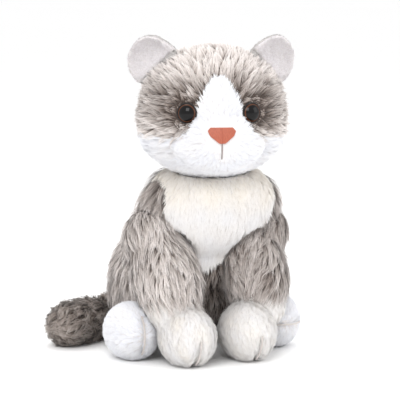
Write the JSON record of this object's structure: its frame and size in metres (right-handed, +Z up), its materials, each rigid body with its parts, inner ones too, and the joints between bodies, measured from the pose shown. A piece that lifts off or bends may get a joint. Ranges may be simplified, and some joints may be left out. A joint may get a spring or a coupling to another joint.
{
  "type": "plush cat",
  "caption": "Sitting soft toy cat with a round turning head, hinged ears, sewn-on legs that lift, splaying hind feet and a two-part tail.",
  "frame": {"origin": "centre of the flat seat that the toy rests on, below the middle of its hips", "axes": "+Z up, the toy faces -Y, and +X is its own left side"},
  "size_m": [0.212, 0.2117, 0.2854],
  "materials": {
    "grey_long_plush": "long brushed pile, grey-brown at the root and pale at the tip",
    "white_long_plush": "long brushed pile, white",
    "white_short_plush": "short sheared pile, off-white",
    "dark_long_plush": "long brushed pile, dark grey-brown",
    "ear_grey_plush": "short pale grey pile",
    "fibre_stuffing": "soft white polyester fibre",
    "bag_cloth": "thin woven cloth",
    "pellet_plastic": "loose plastic pellets",
    "eye_clear": "polished clear plastic over an amber ring and black pupil",
    "eye_black": "moulded black plastic",
    "washer_plastic": "moulded plastic",
    "nose_thread": "close satin stitches in terracotta thread",
    "line_thread": "single pale thread",
    "label_cloth": "blank satin ribbon"
  },
  "bodies": {
    "torso": {"torso_stuffing": "fibre_stuffing", "seat_panel": "dark_long_plush", "chest_bib": "white_long_plush", "belly_panel": "grey_long_plush", "flank_left": "grey_long_plush", "flank_right": "grey_long_plush", "pellet_bag": "bag_cloth", "pellets": "pellet_plastic", "closing_stitches": "line_thread", "care_label": "label_cloth"},
    "neck": {"neck_stuffing": "fibre_stuffing"},
    "head": {"head_stuffing": "fibre_stuffing", "head_back": "grey_long_plush", "face_blaze": "white_short_plush", "muzzle_panel": "white_short_plush", "brow_left": "grey_long_plush", "brow_right": "grey_long_plush", "cheek_left": "white_long_plush", "cheek_right": "white_long_plush", "nose_pad": "nose_thread", "mouth_stitch": "line_thread", "eye_dome_left": "eye_clear", "eye_dome_right": "eye_clear", "eye_post_left": "eye_black", "eye_post_right": "eye_black", "eye_washer_left": "washer_plastic", "eye_washer_right": "washer_plastic"},
    "tail_base": {"tail_base_skin": "dark_long_plush", "tail_base_stuffing": "fibre_stuffing"},
    "tail_tip": {"tail_tip_skin": "dark_long_plush", "tail_tip_stuffing": "fibre_stuffing"},
    "ear_left": {"ear_back_left": "ear_grey_plush", "ear_lining_left": "white_short_plush"},
    "front_leg_left": {"sleeve_left": "grey_long_plush", "paw_skin_left": "white_short_plush", "front_leg_stuffing_left": "fibre_stuffing", "toe_stitch_left": "line_thread"},
    "hind_foot_left": {"foot_skin_left": "white_short_plush", "foot_stuffing_left": "fibre_stuffing", "foot_stitch_left": "line_thread"},
    "ear_right": {"ear_back_right": "ear_grey_plush", "ear_lining_right": "white_short_plush"},
    "front_leg_right": {"sleeve_right": "grey_long_plush", "paw_skin_right": "white_short_plush", "front_leg_stuffing_right": "fibre_stuffing", "toe_stitch_right": "line_thread"},
    "hind_foot_right": {"foot_skin_right": "white_short_plush", "foot_stuffing_right": "fibre_stuffing", "foot_stitch_right": "line_thread"}
  },
  "joints": [
    {"name": "neck_turn", "type": "hinge", "parent": "torso", "child": "neck", "pos_m": [0.009, -0.051, 0.149], "axis": [0, 0, 1], "range_deg": [-25, 25], "stiffness_Nm_per_rad": 0.6},
    {"name": "head_nod", "type": "hinge", "parent": "neck", "child": "head", "pos_m": [0.009, -0.051, 0.149], "axis": [0.9537, -0.3007, 0], "range_deg": [-10, 12], "stiffness_Nm_per_rad": 1.2},
    {"name": "ear_fold_left", "type": "hinge", "parent": "head", "child": "ear_left", "pos_m": [0.04783, -0.08107, 0.25608], "axis": [0.7053, 0.379, -0.5991], "range_deg": [-15, 25], "stiffness_Nm_per_rad": 0.004},
    {"name": "ear_fold_right", "type": "hinge", "parent": "head", "child": "ear_right", "pos_m": [-0.04006, -0.05336, 0.25608], "axis": [0.3603, -0.715, 0.5991], "range_deg": [-15, 25], "stiffness_Nm_per_rad": 0.004},
    {"name": "front_leg_lift_left", "type": "hinge", "parent": "torso", "child": "front_leg_left", "pos_m": [0.058, -0.05, 0.103], "axis": [-1, 0, 0], "range_deg": [0, 20], "stiffness_Nm_per_rad": 0.08},
    {"name": "front_leg_lift_right", "type": "hinge", "parent": "torso", "child": "front_leg_right", "pos_m": [-0.046, -0.05, 0.103], "axis": [-1, 0, 0], "range_deg": [0, 20], "stiffness_Nm_per_rad": 0.08},
    {"name": "hind_foot_splay_left", "type": "hinge", "parent": "torso", "child": "hind_foot_left", "pos_m": [0.058, -0.028, 0.022], "axis": [0, 0, 1], "range_deg": [0, 25], "stiffness_Nm_per_rad": 0.05},
    {"name": "hind_foot_splay_right", "type": "hinge", "parent": "torso", "child": "hind_foot_right", "pos_m": [-0.058, -0.028, 0.022], "axis": [0, 0, -1], "range_deg": [0, 25], "stiffness_Nm_per_rad": 0.05},
    {"name": "tail_swing", "type": "hinge", "parent": "torso", "child": "tail_base", "pos_m": [-0.014, 0.05, 0.019], "axis": [0, 0, -1], "range_deg": [0, 70], "stiffness_Nm_per_rad": 0.05},
    {"name": "tail_curl", "type": "hinge", "parent": "tail_base", "child": "tail_tip", "pos_m": [-0.063, 0.037, 0.019], "axis": [0, 0, -1], "range_deg": [-10, 35], "stiffness_Nm_per_rad": 0.03}
  ]
}
